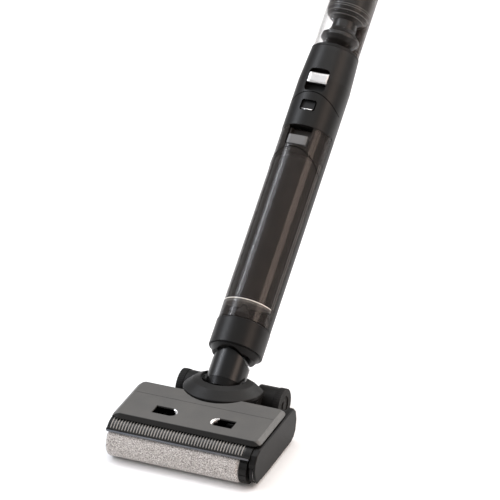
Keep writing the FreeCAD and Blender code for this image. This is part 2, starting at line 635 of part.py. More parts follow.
def make_wand():
    """Collar, spine, front panel and socket of the wand."""
    sleeve_foot = d.collar_foot
    lip = d.collar_radius - 1.8
    cheek_foot = sleeve_foot - 10
    profile = [(0, cheek_foot), (d.collar_radius - 9.5, cheek_foot), (lip - 2, sleeve_foot - 1),
               (lip - 2, sleeve_foot), (d.collar_radius - 0.6, sleeve_foot),
               (d.collar_radius, sleeve_foot + 1),
               (d.collar_radius, d.tank_foot - 1.2), (d.collar_radius - 1.2, d.tank_foot), (0, d.tank_foot)]
    mouth = rod("y", d.neck_top + 2.5, (-60, 60))
    shank = block((-8.5, 8.5), (-7, 7), (0, sleeve_foot + 4))
    eye = rod("y", 7.5, (-7, 7))
    hole = rod("y", d.steer_pin_radius + d.running, (-8, 8))
    on_wand("wand_collar", cut(fuse(cut(spun(profile), mouth), shank, eye), hole))
    back = block(ACROSS, (d.spine_front, 60), (d.tank_foot, d.tank_head))
    spine = common(rod("z", d.wand_radius, (d.tank_foot + 0.1, d.tank_head - 0.1)), back)
    tunnel = rod("z", 15, (d.tank_foot - 1, d.tank_head + 1), (0, 22))
    on_wand("wand_spine", cut(spine, tunnel))
    seam_rear = Size(10)
    front_half = block(ACROSS, (-60, seam_rear), (0, 600))
    panel_rod = rod("z", d.wand_radius, (d.tank_head, d.panel_head))
    panel = common(panel_rod, arch(d.panel_head, d.panel_arch, 0), front_half)
    window_foot = d.tank_head + 27.5
    window = block((-12.4, 12.4), (-60, -d.wand_radius + 7), (window_foot, window_foot + 18.5))
    pump_at = (0, -14)
    pump_room = rod("z", 14.4, (d.tank_head - 1, window_foot + 26), pump_at)
    on_wand("front_housing", cut(panel, window, pump_room))
    pane_limits = (-d.wand_radius + 4.5, -d.wand_radius + 6.9)
    on_wand("status_window", block((-12.2, 12.2), pane_limits, (window_foot + 0.2, window_foot + 18.3)))
    on_wand("water_pump", rod("z", 14, (d.tank_head + 6, window_foot + 25.6), pump_at))
    socket_head = d.cup_foot - 0.1
    taper = [(0, d.tank_head), (d.wand_radius, d.tank_head), (d.wand_radius, d.pocket_foot + 28),
             (d.cup_radius + 1.8, d.cup_foot - 7), (d.cup_radius + 1.2, socket_head), (0, socket_head)]
    wider_half = block(ACROSS, (-60, seam_rear + 0.3), (0, 600))
    panel_room = common(arch(d.panel_head, d.panel_arch, 0.3), wider_half)
    socket = rod("z", 18.5, (d.cup_foot - 35, d.cup_foot + 1))
    pocket_box = block((-18, 18), (-60, -30), (d.pocket_foot, d.pocket_foot + 42))
    pocket = rounded(pocket_box, 7, lambda edge: edge.BoundBox.YLength > 10)
    on_wand("wand_socket", cut(spun(taper), panel_room, socket, pocket))


def make_release():
    """The chrome release button on the socket, and its spring."""
    foot = d.pocket_foot + 16.5
    pad = block((-17.6, 17.6), (-d.wand_radius + 3.5, -35), (foot, foot + 18))
    on_wand("release_button", common(pad, rod("z", d.wand_radius - 0.8, (500, 600))))
    on_wand("release_spring", spring("y", 3, COIL_WIRE, (-34.8, -30.2), (0, foot + 9), 3))


def make_tank():
    """Water tank: clear shell, foot ring, dark core, cap and valve."""
    rear = d.spine_front - d.gap
    front = block(ACROSS, (-60, rear), (d.tank_foot, d.tank_head))
    foot = d.tank_foot + d.gap
    head = d.tank_head - d.gap
    inner = d.wand_radius - d.tank_wall
    room_front = block(ACROSS, (-60, rear - d.tank_wall), (0, 600))
    room = common(rod("z", inner, (foot + 2.4, head - 2.4)), room_front)
    whole = cut(common(rod("z", d.wand_radius - 0.2, (foot, head)), front), room)
    latch_room = block((-20.5, 20.5), (-60, -24), (head - 36, head + 1))
    on_wand("tank_shell", common(whole, arch(d.lid_head, d.lid_arch, 0)))
    on_wand("tank_cap", cut(whole, arch(d.lid_head, d.lid_arch, 0.15), latch_room))
    core_front = block(ACROSS, (-60, d.spine_front - 5), (0, d.tank_head))
    ring = common(rod("z", inner - 0.2, (d.ring_foot, d.ring_foot + 4)), core_front)
    on_wand("tank_ring", ring)
    crown_foot = d.lid_head - 14
    core = common(rod("z", inner - 4, (d.ring_foot + 4, crown_foot)), core_front)
    crown = cone("z", inner - 4, 24, (crown_foot, crown_foot + 12))
    box = block((-20.2, 20.2), (-32, -14), (crown_foot + 11, head - 2.6))
    recess = block((-18, 18), (-60, -25), (head - 36, head))
    on_wand("tank_core", cut(fuse(core, common(crown, core_front), box), recess))
    on_wand("tank_valve", cone("z", 12, 5, (d.ring_foot - 16, d.ring_foot), (0, -24)))


def make_tank_latch():
    """The grey latch tab that frees the tank, and its spring."""
    foot = d.lid_head + 6
    tab = block((-16.5, 16.5), (-d.wand_radius + 2.5, -30), (foot, foot + 16))
    on_wand("tank_latch", common(tab, rod("z", d.wand_radius - 0.6, (300, 500))))
    on_wand("tank_latch_spring", spring("y", 3, COIL_WIRE, (-29.8, -25.2), (0, foot + 8), 3))


def make_cup():
    """Dust cup with its cyclone."""
    foot = d.cup_foot + d.gap
    head = d.cup_head
    inner = d.cup_radius - d.cup_wall
    inlet = tube("z", 18, 15.5, (d.cup_foot - 32, foot + 6))
    floor = cut(rod("z", inner - 0.1, (foot + 2.8, foot + 6)), rod("z", 18, (500, head)))
    on_wand("dust_cup", tube("z", d.cup_radius, inner, (foot + 3, head)))
    base = rod("z", d.cup_radius + 1.2, (foot, foot + 2.9))
    bore = rod("z", 15.5, (500, foot + 7))
    on_wand("cup_lid", cut(fuse(base, inlet, floor), bore))
    skirt = [(11, foot + 12), (19, foot + 14), (27, foot + 21), (32.5, foot + 28), (32, foot + 34),
             (25, foot + 40), (21.5, foot + 47), (21.5, foot + 50), (11, foot + 50)]
    riser = tube("z", 11.5, 9.5, (foot + 10, head - 6))
    on_wand("cyclone_skirt", fuse(spun(skirt), riser))
    screen = [(21, foot + 50.2), (21, foot + 61), (29, foot + 67), (35, foot + 73), (37, foot + 79),
              (37, head - 3), (31, head - 3), (31, foot + 80), (12, foot + 62), (12, foot + 50.2)]
    on_wand("cyclone_filter", spun(screen))
    rail_height = (foot + 3.2, head - 0.3)
    rail = tube("z", d.cup_radius + 7.2, d.cup_radius + 0.9, rail_height)
    on_wand("cup_rail", common(rail, block((-27, 27), (0, 60), rail_height)))


def make_hand_unit():
    """Motor housing with its fan, grip, display, battery and controls."""
    foot = d.cup_head + 0.2
    shoulder = d.motor_head - 14
    radius = d.cup_radius + 2.5
    shell = [(0, foot), (radius, foot), (radius + 1, foot + 8), (radius + 1, shoulder),
             (radius - 8, d.motor_head), (0, d.motor_head)]
    fan_room = rod("z", 32, (foot + 14, shoulder - 12))
    battery_room = block((-24, 24), (27, 60), (foot + 8, shoulder - 2))
    channel = rod("z", 11, (foot - 1, foot + 16))
    front_pocket = block((-16, 16), (-60, -radius + 3), (foot + 30, foot + 78))
    on_wand("motor_housing", cut(spun(shell), fan_room, battery_room, channel, front_pocket))
    on_wand("suction_motor", rod("z", 15, (foot + 44, shoulder - 13), (0, FAN_OFFSET)))
    blade_height = (foot + 26, foot + 36)
    blades = []
    for index in range(4):
        blade = block((-BLADE_REACH, BLADE_REACH), (-BLADE_HALF, BLADE_HALF), blade_height)
        angle = math.radians(45 * index)
        sine_of, cosine_of = math.sin(angle), math.cos(angle)
        blade.Placement = FreeCAD.Placement(vector(), FreeCAD.Rotation(vector(0, 0, 1), 45 * index))
        corner_x = -BLADE_REACH * cosine_of + BLADE_HALF * sine_of
        corner_y = -BLADE_REACH * sine_of - BLADE_HALF * cosine_of
        put(blade, (corner_x, corner_y, blade_height[0]))
        blades.append(blade)
    plate = rod("z", BLADE_REACH + 1, (foot + 36, foot + 38))
    spindle = rod("z", 2.5, (foot + 26, foot + 43))
    fan = fuse(plate, spindle, *blades)
    put(fan, (0, FAN_OFFSET, 0))
    on_wand("impeller", group(fan))
    on_wand("motor_filter", tube("z", 26, 11.5, (foot + 14.3, foot + 23)))
    on_wand("display_panel", block((-15.7, 15.7), (-radius + 0.2, -radius + 2.8), (foot + 30.3, foot + 77.7)))
    grip_foot = d.motor_head + 0.1
    grip = [(0, grip_foot), (30, grip_foot), (24, grip_foot + 12), (d.grip_radius, grip_foot + 34),
            (d.grip_radius - 1, d.grip_head - 40), (d.grip_radius + 1, d.grip_head - 14),
            (d.grip_radius - 3, d.grip_head - 3), (d.grip_radius - 9, d.grip_head), (0, d.grip_head)]
    trigger_room = block((-6.5, 6.5), (5, 40), (grip_foot + 40, grip_foot + 74))
    button_room = rod("y", 6.4, (-40, -d.grip_radius + 7), (0, grip_foot + 60))
    mode_room = rod("y", 5.4, (-40, -d.grip_radius + 7), (0, grip_foot + 84))
    on_wand("hand_grip", cut(spun(grip), trigger_room, button_room, mode_room))
    on_wand("trigger", block((-6, 6), (9.5, 21), (grip_foot + 41, grip_foot + 73)))
    on_wand("trigger_spring", spring("y", 3, COIL_WIRE, (5.2, 9.3), (0, grip_foot + 60), 3))
    on_wand("power_button", rod("y", 6, (-d.grip_radius - 0.6, -d.grip_radius + 5), (0, grip_foot + 60)))
    on_wand("mode_button", rod("y", 5, (-d.grip_radius - 0.6, -d.grip_radius + 5), (0, grip_foot + 84)))
    pack = block((-23.5, 23.5), (27.5, 54), (foot + 8.5, shoulder - 2.5))
    on_wand("battery_pack", pack)


def failures():
    """Objects that FreeCAD could not make, and sub-parts without a sound shape."""
    broken = [item.Name for item in doc.Objects if "Invalid" in item.State or "Error" in item.State]
    for item in PARTS:
        if item.Shape.isNull() or not item.Shape.isValid() or not item.Shape.Solids:
            broken.append(item.Label)
    return broken


make_roller()
make_drive()
make_sides()
make_base()
make_roller_cover()
make_latches()
make_rear()
make_dome()
make_neck()
make_wand()
make_release()
make_tank()
make_tank_latch()
make_cup()
make_hand_unit()
doc.recompute()
if failures():
    raise SystemExit("not made: " + ", ".join(failures()))
os.makedirs("parts", exist_ok=True)
for item in PARTS:
    item.Shape.exportStep(os.path.join("parts", item.Label + ".step"))
print(len(PARTS), "sub-parts written")
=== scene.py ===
"""Looks for the cordless floor scrubber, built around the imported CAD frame.

Metres, +Z up, -Y is the front. The wand's details are placed in its own millimetres, see wand().
"""

import json
import math
import random

import bpy
from mathutils import Matrix, Vector, noise


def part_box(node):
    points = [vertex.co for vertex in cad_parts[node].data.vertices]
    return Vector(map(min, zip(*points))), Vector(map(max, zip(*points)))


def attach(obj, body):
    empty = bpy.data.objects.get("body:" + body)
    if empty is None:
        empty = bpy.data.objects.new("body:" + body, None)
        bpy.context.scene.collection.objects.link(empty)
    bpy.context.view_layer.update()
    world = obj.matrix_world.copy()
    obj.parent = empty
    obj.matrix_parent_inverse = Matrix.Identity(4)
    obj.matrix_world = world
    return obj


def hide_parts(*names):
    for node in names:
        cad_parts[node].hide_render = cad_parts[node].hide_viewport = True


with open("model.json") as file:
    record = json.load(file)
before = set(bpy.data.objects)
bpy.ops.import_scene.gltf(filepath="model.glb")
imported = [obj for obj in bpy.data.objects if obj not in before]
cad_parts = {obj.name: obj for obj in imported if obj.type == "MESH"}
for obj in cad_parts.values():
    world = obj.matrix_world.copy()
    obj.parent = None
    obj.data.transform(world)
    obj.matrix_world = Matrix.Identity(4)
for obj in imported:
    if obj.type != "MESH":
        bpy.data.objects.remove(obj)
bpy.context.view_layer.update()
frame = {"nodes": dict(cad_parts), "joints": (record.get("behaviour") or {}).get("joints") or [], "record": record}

MM = 0.001
FULL_TURN = 2 * math.pi
JOINTS = {joint["name"]: joint for joint in frame["joints"]}
STEER = Vector(JOINTS["wand_steer"]["pos_m"])
ROLLER = Vector(JOINTS["roller_spin"]["pos_m"])
RIGHT = Vector((1, 0, 0))
FRONT = Vector(JOINTS["wand_steer"]["axis"]).normalized()
ALONG = RIGHT.cross(-FRONT)
WINDOW = ROLLER + Vector((0, 8, 8)) * MM    # centre of the roller window's curve
draw = random.Random(7)


# ---------------------------------------------------------------- places

def wand(x, y, s):
    """A point given in the wand's own millimetres: right, back and along its axis."""
    return STEER + (RIGHT * x - FRONT * y + ALONG * s) * MM


def wand_span(node):
    """Lowest and highest x, y and s of a CAD node in the wand's own millimetres."""
    points = [(v.co - STEER) / MM for v in frame["nodes"][node].data.vertices]
    axes = (RIGHT, -FRONT, ALONG)
    low = [min(p.dot(axis) for p in points) for axis in axes]
    high = [max(p.dot(axis) for p in points) for axis in axes]
    return low, high


def ring_point(radius, angle, s):
    """A point on a circle round the wand's axis; angle 0 is the front, 90 degrees the right."""
    return wand(radius * math.sin(angle), -radius * math.cos(angle), s)


def between(first, last, steps):
    """Evenly spaced values from first to last, both included."""
    return [first + (last - first) * step / steps for step in range(steps + 1)]


def angles_round(count):
    """Evenly spaced angles over a full turn."""
    return [FULL_TURN * step / count for step in range(count)]


# ---------------------------------------------------------------- meshes

def mesh_piece(name, points, faces):
    """A smooth-shaded object, linked to the scene."""
    mesh = bpy.data.meshes.new(name)
    mesh.from_pydata([tuple(p) for p in points], [], faces)
    mesh.validate()
    mesh.polygons.foreach_set("use_smooth", [True] * len(mesh.polygons))
    piece = bpy.data.objects.new(name, mesh)
    bpy.context.scene.collection.objects.link(piece)
    return piece


def finish_piece(piece, body, look, replaced=()):
    """Gives a piece its look and its body, and hides the CAD nodes it stands for."""
    piece.data.materials.append(look)
    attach(piece, body)
    if replaced:
        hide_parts(*replaced)
    return piece


def sheet_of_rows(rows, closed, caps):
    """Points and faces of a skin over rows of equal length; caps close its first and last row."""
    width = len(rows[0])
    points = [p for row in rows for p in row]
    faces = []
    for r in range(len(rows) - 1):
        this, following = r * width, (r + 1) * width
        for c in range(width if closed else width - 1):
            after = (c + 1) % width
            faces.append((this + c, this + after, following + after, following + c))
    if caps:
        faces.append(tuple(reversed(range(width))))
        last = (len(rows) - 1) * width
        faces.append(tuple(last + c for c in range(width)))
    return points, faces


def joined(parts):
    """Several (points, faces) as one."""
    points, faces = [], []
    for more_points, more_faces in parts:
        start = len(points)
        points.extend(more_points)
        faces.extend(tuple(start + i for i in face) for face in more_faces)
    return points, faces


def bar(path, across, wide, high, sides=8):
    """A rounded bar along a path; across is the direction of its width."""
    squareness = 0.7    # 1 is an ellipse, less is squarer
    rows = []
    for index, point in enumerate(path):
        before = path[max(index - 1, 0)]
        after = path[min(index + 1, len(path) - 1)]
        tangent = (after - before).normalized()
        side = (across - tangent * across.dot(tangent)).normalized()
        up = tangent.cross(side)
        row = []
        for turn in angles_round(sides):
            c, s = math.cos(turn), math.sin(turn)
            row.append(point + side * math.copysign(abs(c) ** squareness, c) * wide / 2
                       + up * math.copysign(abs(s) ** squareness, s) * high / 2)
        rows.append(row)
    return sheet_of_rows(rows, True, True)


def lathe(profile, turns=64, arc=(0, FULL_TURN)):
    """A solid of revolution about the wand's axis from closed (radius, station) points."""
    whole = abs(arc[1] - arc[0] - FULL_TURN) < 1e-6
    angles = between(*arc, turns)
    if not whole:
        rows = [[ring_point(radius, angle, s) for radius, s in profile] for angle in angles]
        return sheet_of_rows(rows, True, True)
    rows = [[ring_point(radius, angle, s) for radius, s in profile] for angle in angles[:-1]]
    points, faces = sheet_of_rows(rows + [rows[0]], True, False)
    last = turns * len(profile)
    faces = [tuple(i - last if i >= last else i for i in face) for face in faces]
    return points[:last], faces


def ridge(radius, s, sunk, proud, rises):
    """Profile of a ridge on the wand's skin: sunk at its two feet, proud at its two crests.

    rises are the stations of foot, crest, crest and foot, counted from s.
    """
    return [(radius + reach, s + rise) for reach, rise in zip((-sunk, proud, proud, -sunk), rises)]


# ---------------------------------------------------------------- materials

CLOUD_DARK, CLOUD_LIGHT = 0.35, 0.65    # noise values where the dark and light tones begin


def shader(name):
    """A new material with its nodes, links and Principled node."""
    look = bpy.data.materials.new(name)
    look.use_nodes = True
    nodes, links = look.node_tree.nodes, look.node_tree.links
    return look, nodes, links, nodes["Principled BSDF"]


def noise_node(nodes, links, scale, detail):
    """Noise over object coordinates."""
    coordinates = nodes.new("ShaderNodeTexCoord")
    texture = nodes.new("ShaderNodeTexNoise")
    texture.inputs["Scale"].default_value = scale
    texture.inputs["Detail"].default_value = detail
    links.new(coordinates.outputs["Object"], texture.inputs["Vector"])
    return texture


def mapped(nodes, links, source, low, high, spread=(0.3, 0.7)):
    """A value taken from its spread to low and high."""
    node = nodes.new("ShaderNodeMapRange")
    node.inputs["From Min"].default_value, node.inputs["From Max"].default_value = spread
    node.inputs["To Min"].default_value = low
    node.inputs["To Max"].default_value = high
    links.new(source, node.inputs["Value"])
    return node.outputs["Result"]


def ramp(nodes, links, source, stops):
    """A value turned into colours by (position, colour) stops."""
    node = nodes.new("ShaderNodeValToRGB")
    elements = node.color_ramp.elements
    while len(elements) < len(stops):
        elements.new(0.5)
    for element, (position, colour) in zip(elements, stops):
        element.position = position
        element.color = (*colour, 1)
    links.new(source, node.inputs["Fac"])
    return node.outputs["Color"]


def bump_node(nodes, links, height, strength, depth):
    """A bump node over a height, with its depth in metres."""
    relief = nodes.new("ShaderNodeBump")
    relief.inputs["Strength"].default_value = strength
    relief.inputs["Distance"].default_value = depth
    links.new(height, relief.inputs["Height"])
    return relief


def tinted(colour, factor):
    return tuple(min(1.0, channel * factor) for channel in colour)


def moulded(name, colour, rough, *, shade=0.12, cloud=28, grain=1700, bump=0.12, edge=0.0007,
            specular=0.5, metallic=0.0, coat=0.0, warm=(1.0, 0.97, 0.94)):
    """Moulded plastic or metal: slow colour clouds, fine grain in bump and gloss, softened edges."""
    grain_depth, bevel_samples, coat_roughness = 0.00012, 4, 0.12
    look, nodes, links, principled = shader(name)
    clouds = noise_node(nodes, links, cloud, 4)
    dark = tinted(colour, 1 - shade)
    light = tuple(channel * (1 + shade) * tone for channel, tone in zip(colour, warm))
    tones = ramp(nodes, links, clouds.outputs["Fac"], [(CLOUD_DARK, dark), (CLOUD_LIGHT, light)])
    links.new(tones, principled.inputs["Base Color"])
    fine = noise_node(nodes, links, grain, 3)
    gloss = mapped(nodes, links, fine.outputs["Fac"], rough * 0.82, min(1, rough * 1.2))
    links.new(gloss, principled.inputs["Roughness"])
    rounding = nodes.new("ShaderNodeBevel")
    rounding.samples = bevel_samples
    rounding.inputs["Radius"].default_value = edge
    relief = bump_node(nodes, links, fine.outputs["Fac"], bump, grain_depth)
    links.new(rounding.outputs["Normal"], relief.inputs["Normal"])
    links.new(relief.outputs["Normal"], principled.inputs["Normal"])
    principled.inputs["Metallic"].default_value = metallic
    principled.inputs["Specular IOR Level"].default_value = specular
    principled.inputs["Coat Weight"].default_value = coat
    principled.inputs["Coat Roughness"].default_value = coat_roughness
    return look


def paint_front_shade(look, start, end, share, gloss_low):
    """Paints shade into a moulded look towards the front, between two places along Y: darkens its colour and takes
    its gloss away.
    """
    nodes, links = look.node_tree.nodes, look.node_tree.links
    principled = nodes["Principled BSDF"]
    colour = principled.inputs["Base Color"].links[0].from_socket
    coordinates = nodes.new("ShaderNodeTexCoord")
    split = nodes.new("ShaderNodeSeparateXYZ")
    links.new(coordinates.outputs["Object"], split.inputs["Vector"])
    shade = mapped(nodes, links, split.outputs["Y"], share, 1.0, (start, end))
    blend = nodes.new("ShaderNodeMix")
    blend.data_type = "RGBA"
    blend.blend_type = "MULTIPLY"
    blend.inputs["Factor"].default_value = 1.0
    links.new(colour, blend.inputs["A"])
    links.new(shade, blend.inputs["B"])
    links.new(blend.outputs["Result"], principled.inputs["Base Color"])
    specular = principled.inputs["Specular IOR Level"]
    gloss = mapped(nodes, links, split.outputs["Y"], gloss_low, specular.default_value, (start, end))
    links.new(gloss, specular)


def clear(name, colour, rough, middle, rim):
    """Clear plastic: opacity middle seen straight on, rising to rim at its outline."""
    plastic_ior, cloud = 1.45, 60
    look, nodes, links, principled = shader(name)
    clouds = noise_node(nodes, links, cloud, 2)
    stops = [(CLOUD_DARK, tinted(colour, 0.9)), (CLOUD_LIGHT, tinted(colour, 1.1))]
    links.new(ramp(nodes, links, clouds.outputs["Fac"], stops), principled.inputs["Base Color"])
    gloss = mapped(nodes, links, clouds.outputs["Fac"], rough * 0.8, rough * 1.3)
    links.new(gloss, principled.inputs["Roughness"])
    facing = nodes.new("ShaderNodeLayerWeight")
    facing.inputs["Blend"].default_value = 0.35
    alpha = mapped(nodes, links, facing.outputs["Facing"], middle, rim, (0.15, 0.95))
    links.new(alpha, principled.inputs["Alpha"])
    ripple = bump_node(nodes, links, clouds.outputs["Fac"], 0.008, 0.0004)
    links.new(ripple.outputs["Normal"], principled.inputs["Normal"])
    principled.inputs["IOR"].default_value = plastic_ior
    return look


def plush(name):
    """Short microfibre: pale loops with darker gaps between them."""
    look, nodes, links, principled = shader(name)
    loops = noise_node(nodes, links, 620, 4)
    stops = [(0.30, (0.13, 0.115, 0.106)), (0.42, (0.35, 0.32, 0.3)),
             (0.54, (0.61, 0.57, 0.54)), (0.72, (0.9, 0.87, 0.84))]
    links.new(ramp(nodes, links, loops.outputs["Fac"], stops), principled.inputs["Base Color"])
    fibre = noise_node(nodes, links, 2600, 3)
    links.new(mapped(nodes, links, fibre.outputs["Fac"], 0.85, 1.0), principled.inputs["Roughness"])
    relief = bump_node(nodes, links, fibre.outputs["Fac"], 0.7, 0.0008)
    links.new(relief.outputs["Normal"], principled.inputs["Normal"])
    principled.inputs["Sheen Weight"].default_value = 0.25
    principled.inputs["Specular IOR Level"].default_value = 0.15
    return look


NEUTRAL = (1, 1, 1)
MOULDED = {    # colour, roughness and what differs from a plain moulded look
    "grey_plate": ((0.078, 0.0765, 0.0735), 0.46,
                   dict(shade=0.06, grain=2300, bump=0.2, edge=0.0012, specular=0.4, warm=(1, 0.99, 0.97))),
    "black_plastic": ((0.006, 0.0057, 0.0054), 0.48, dict(shade=0.25, grain=1500, bump=0.2, specular=0.2)),
    "dark_plastic": ((0.0078, 0.0075, 0.0072), 0.48,
                     dict(shade=0.14, grain=1900, bump=0.22, edge=0.001, specular=0.18)),
    "satin_black": ((0.005, 0.0046, 0.0043), 0.4,
                    dict(shade=0.2, grain=2400, bump=0.1, edge=0.0006, specular=0.22)),
    "neck_gloss": ((0.0026, 0.0025, 0.0025), 0.31, dict(shade=0.2, grain=2400, bump=0.06, specular=0.36)),
    "side_black": ((0.005, 0.0047, 0.0044), 0.46,
                   dict(shade=0.2, grain=1700, bump=0.16, edge=0.0016, specular=0.17)),
    "cyclone_dark": ((0.011, 0.0104, 0.01), 0.34, dict(shade=0.14, grain=2000, bump=0.1, specular=0.3)),
    "pane_black": ((0.01, 0.01, 0.0105), 0.5, dict(shade=0.25, bump=0.1, specular=0.2)),
    "chrome": ((0.64, 0.63, 0.62), 0.3,
               dict(shade=0.03, grain=900, bump=0.02, edge=0.005, metallic=1.0, warm=NEUTRAL)),
    # Half metal, half diffuse near-white: the white is a painted glint on the cutout crescents and the window
    # strip.
    "chrome_with_painted_glint": ((0.88, 0.87, 0.86), 0.13,
                      dict(shade=0.03, grain=900, bump=0.02, metallic=0.55, warm=NEUTRAL)),
    "steel": ((0.5, 0.5, 0.5), 0.3, dict(shade=0.08, grain=3000, metallic=1.0, warm=NEUTRAL)),
    "motor_metal": ((0.16, 0.16, 0.165), 0.38, dict(metallic=0.8, bump=0.1)),
    "grey_accent": ((0.105, 0.105, 0.107), 0.42, dict(shade=0.1)),
    # Light grey for the window's ribs: painted highlight.
    "rib_grey_painted_highlight": ((0.31, 0.303, 0.29), 0.6, dict(shade=0.1, bump=0.1, specular=0.2)),
    "lip_grey": ((0.11, 0.118, 0.135), 0.4, dict(shade=0.1, bump=0.1)),
    # Lighter grey for the cyclone's rings: painted highlight.
    "ring_grey_painted_highlight": ((0.12, 0.116, 0.112), 0.3, dict(shade=0.1, bump=0.05)),
    "ring_plastic": ((0.9, 0.86, 0.8), 0.25, dict(cloud=60)),
    # Painted highlight along the top of the tank's ring.
    "ring_painted_highlight": ((0.82, 0.78, 0.72), 0.2, dict(shade=0.15, cloud=60, bump=0.05)),
    "seam_black": ((0.0012, 0.0011, 0.001), 0.9, dict(shade=0.2, bump=0.05, specular=0.02)),
    "seam_beige": ((0.2, 0.175, 0.155), 0.4, dict(shade=0.15, bump=0.05, specular=0.3)),
    "dark_core": ((0.028, 0.022, 0.019), 0.3, dict(shade=0.3, cloud=40, bump=0.1)),
    "rubber": ((0.012, 0.0116, 0.0112), 0.68, dict(shade=0.2, grain=1300, bump=0.35, specular=0.2)),
    "display_glass": ((0.008, 0.008, 0.01), 0.12, dict(shade=0.3, bump=0.02, coat=0.6)),
}
CLEAR = {    # colour, roughness, opacity seen straight on and at the outline
    "clear_smoke": ((0.03, 0.025, 0.022), 0.09, 0.42, 0.5),
    "cup_clear": ((0.1, 0.082, 0.074), 0.05, 0.012, 0.46),
    "window_smoke": ((0.02, 0.0195, 0.019), 0.3, 0.86, 0.97),
}
LOOKS = {"roller_fabric": plush("roller_fabric")}
for look_name, (colour, rough, options) in MOULDED.items():
    LOOKS[look_name] = moulded(look_name, colour, rough, **options)
for look_name, settings in CLEAR.items():
    LOOKS[look_name] = clear(look_name, *settings)

# Painted shade: the plate's front slope is darkened and loses its gloss as far as its top edge.
plate_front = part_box("top_plate")[0].y
paint_front_shade(LOOKS["grey_plate"], plate_front + 6 * MM, plate_front + 7.4 * MM, share=0.22, gloss_low=0.06)

record_slots = {row["node"]: row["material_slot"] for row in frame["record"]["subparts"]}
SPECIAL = {"dust_cup": "cup_clear", "neck_body": "neck_gloss", "side_cover": "side_black",
           "cyclone_skirt": "cyclone_dark", "cyclone_filter": "cyclone_dark", "status_window": "pane_black"}
for node_name, node in frame["nodes"].items():
    node.data.materials.clear()
    node.data.materials.append(LOOKS[SPECIAL.get(node_name, record_slots[node_name])])
    for polygon in node.data.polygons:
        polygon.material_index = 0


# ---------------------------------------------------------------- the head

def make_plush():
    """The roller's sleeve, brushed up into uneven tufts."""
    low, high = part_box("roller_fabric")
    radius = (high.z - low.z) / 2 - 0.3 * MM
    tallest = radius + 0.25 * MM
    corner = 7 * MM
    tuft_scale = 420
    rows = []
    for x in between(low.x, high.x, 330):
        inset = min(x - low.x, high.x - x)
        drop = corner - math.sqrt(max(0.0, corner ** 2 - max(0.0, corner - inset) ** 2))
        base = radius - drop * 0.9
        row = []
        for angle in angles_round(250):
            y, z = math.cos(angle), math.sin(angle)
            place = Vector((x, y * base, z * base))
            tuft = noise.noise(place * tuft_scale) * 0.35 + draw.uniform(-0.28, 0.28)
            reach = min(base + tuft * MM, tallest)
            row.append(Vector((x, ROLLER.y + y * reach, ROLLER.z + z * reach)))
        rows.append(row)
    piece = mesh_piece("roller_plush", *sheet_of_rows(rows, True, True))
    finish_piece(piece, "roller", LOOKS["roller_fabric"], ["roller_fabric"])


def make_window_ribs():
    """Fine curved ribs over the window, in light grey: a painted highlight along each rib."""
    points = [v.co for v in frame["nodes"]["roller_window"].data.vertices]
    outer = max(math.hypot(p.y - WINDOW.y, p.z - WINDOW.z) for p in points)
    angles = [math.atan2(p.z - WINDOW.z, p.y - WINDOW.y) for p in points]
    end_gap = 0.03    # radians left free at both ends of each rib
    first, last = min(angles) + end_gap, max(angles) - end_gap
    low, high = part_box("roller_window")
    pitch, start = 5.0 * MM, low.x + 2 * MM
    count = int((high.x - low.x - 3 * MM) / pitch)
    ribs = []
    for index in range(count + 1):
        x = start + pitch * index
        path = [Vector((x, WINDOW.y + outer * math.cos(angle), WINDOW.z + outer * math.sin(angle)))
                for angle in between(first, last, 10)]
        ribs.append(bar(path, RIGHT, 1.9 * MM, 1.5 * MM))
    piece = mesh_piece("window_ribs", *joined(ribs))
    finish_piece(piece, "roller_cover", LOOKS["rib_grey_painted_highlight"])


def make_window_lip():
    """The blue-grey lip strip along the window's lower edge."""
    low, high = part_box("window_frame")
    window_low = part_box("roller_window")[0]
    y = window_low.y - 2.6 * MM
    z = window_low.z + 0.1 * MM
    path = [Vector((x, y, z)) for x in (low.x + 1 * MM, 0, high.x - 1 * MM)]
    piece = mesh_piece("window_lip", *bar(path, Vector((0, 0, 1)), 3.6 * MM, 1.4 * MM, 12))
    finish_piece(piece, "roller_cover", LOOKS["lip_grey"])


def make_cutout_glint_crescents():
    """Crescents round the inner ends of the two finger cutouts: chrome trim, with a diffuse white that is a
    painted glint.
    """
    plate_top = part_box("top_plate")[1].z
    cutout_x = 40
    hole_radius = 11.3 * MM
    tip_breadth, extra_breadth = 1.3, 2.6
    section = ((0, 0), (0.3, 0.15), (0.7, 0.55), (1, 0.9), (1, 1.4), (0, 1.4))    # inward, down
    for side, name in ((-1, "left"), (1, "right")):
        latch_low, latch_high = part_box("latch_" + name)
        hub = Vector((side * cutout_x * MM, (latch_low.y + latch_high.y) / 2, plate_top - 0.35 * MM))
        rows = []
        for degrees in between(-88, 88, 32):
            angle = math.radians(degrees)
            breadth = (tip_breadth + extra_breadth * math.cos(angle) ** 1.3) * MM
            outward = Vector((-side * math.cos(angle), math.sin(angle), 0))
            rows.append([hub + outward * (hole_radius - breadth * share) - Vector((0, 0, breadth * fall))
                         for share, fall in section])
        piece = mesh_piece("cutout_glint_crescent_" + name, *sheet_of_rows(rows, True, True))
        finish_piece(piece, "roller_cover", LOOKS["chrome_with_painted_glint"])


def make_wheel_treads():
    """Rubber ridges round the rear wheels."""
    for side in ("left", "right"):
        low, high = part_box("wheel_" + side)
        centre = (low + high) / 2
        radius = (high.z - low.z) / 2 - 0.2 * MM
        inset = 1.5 * MM
        ridges = []
        for angle in angles_round(44):
            outward = Vector((0, math.cos(angle), math.sin(angle)))
            path = [Vector((x, centre.y, centre.z)) + outward * radius
                    for x in (low.x + inset, centre.x, high.x - inset)]
            ridges.append(bar(path, outward.cross(RIGHT), 1.6 * MM, 0.9 * MM, 6))
        piece = mesh_piece("wheel_tread_" + side, *joined(ridges))
        finish_piece(piece, side + "_wheel", LOOKS["rubber"])


# ---------------------------------------------------------------- the wand's front

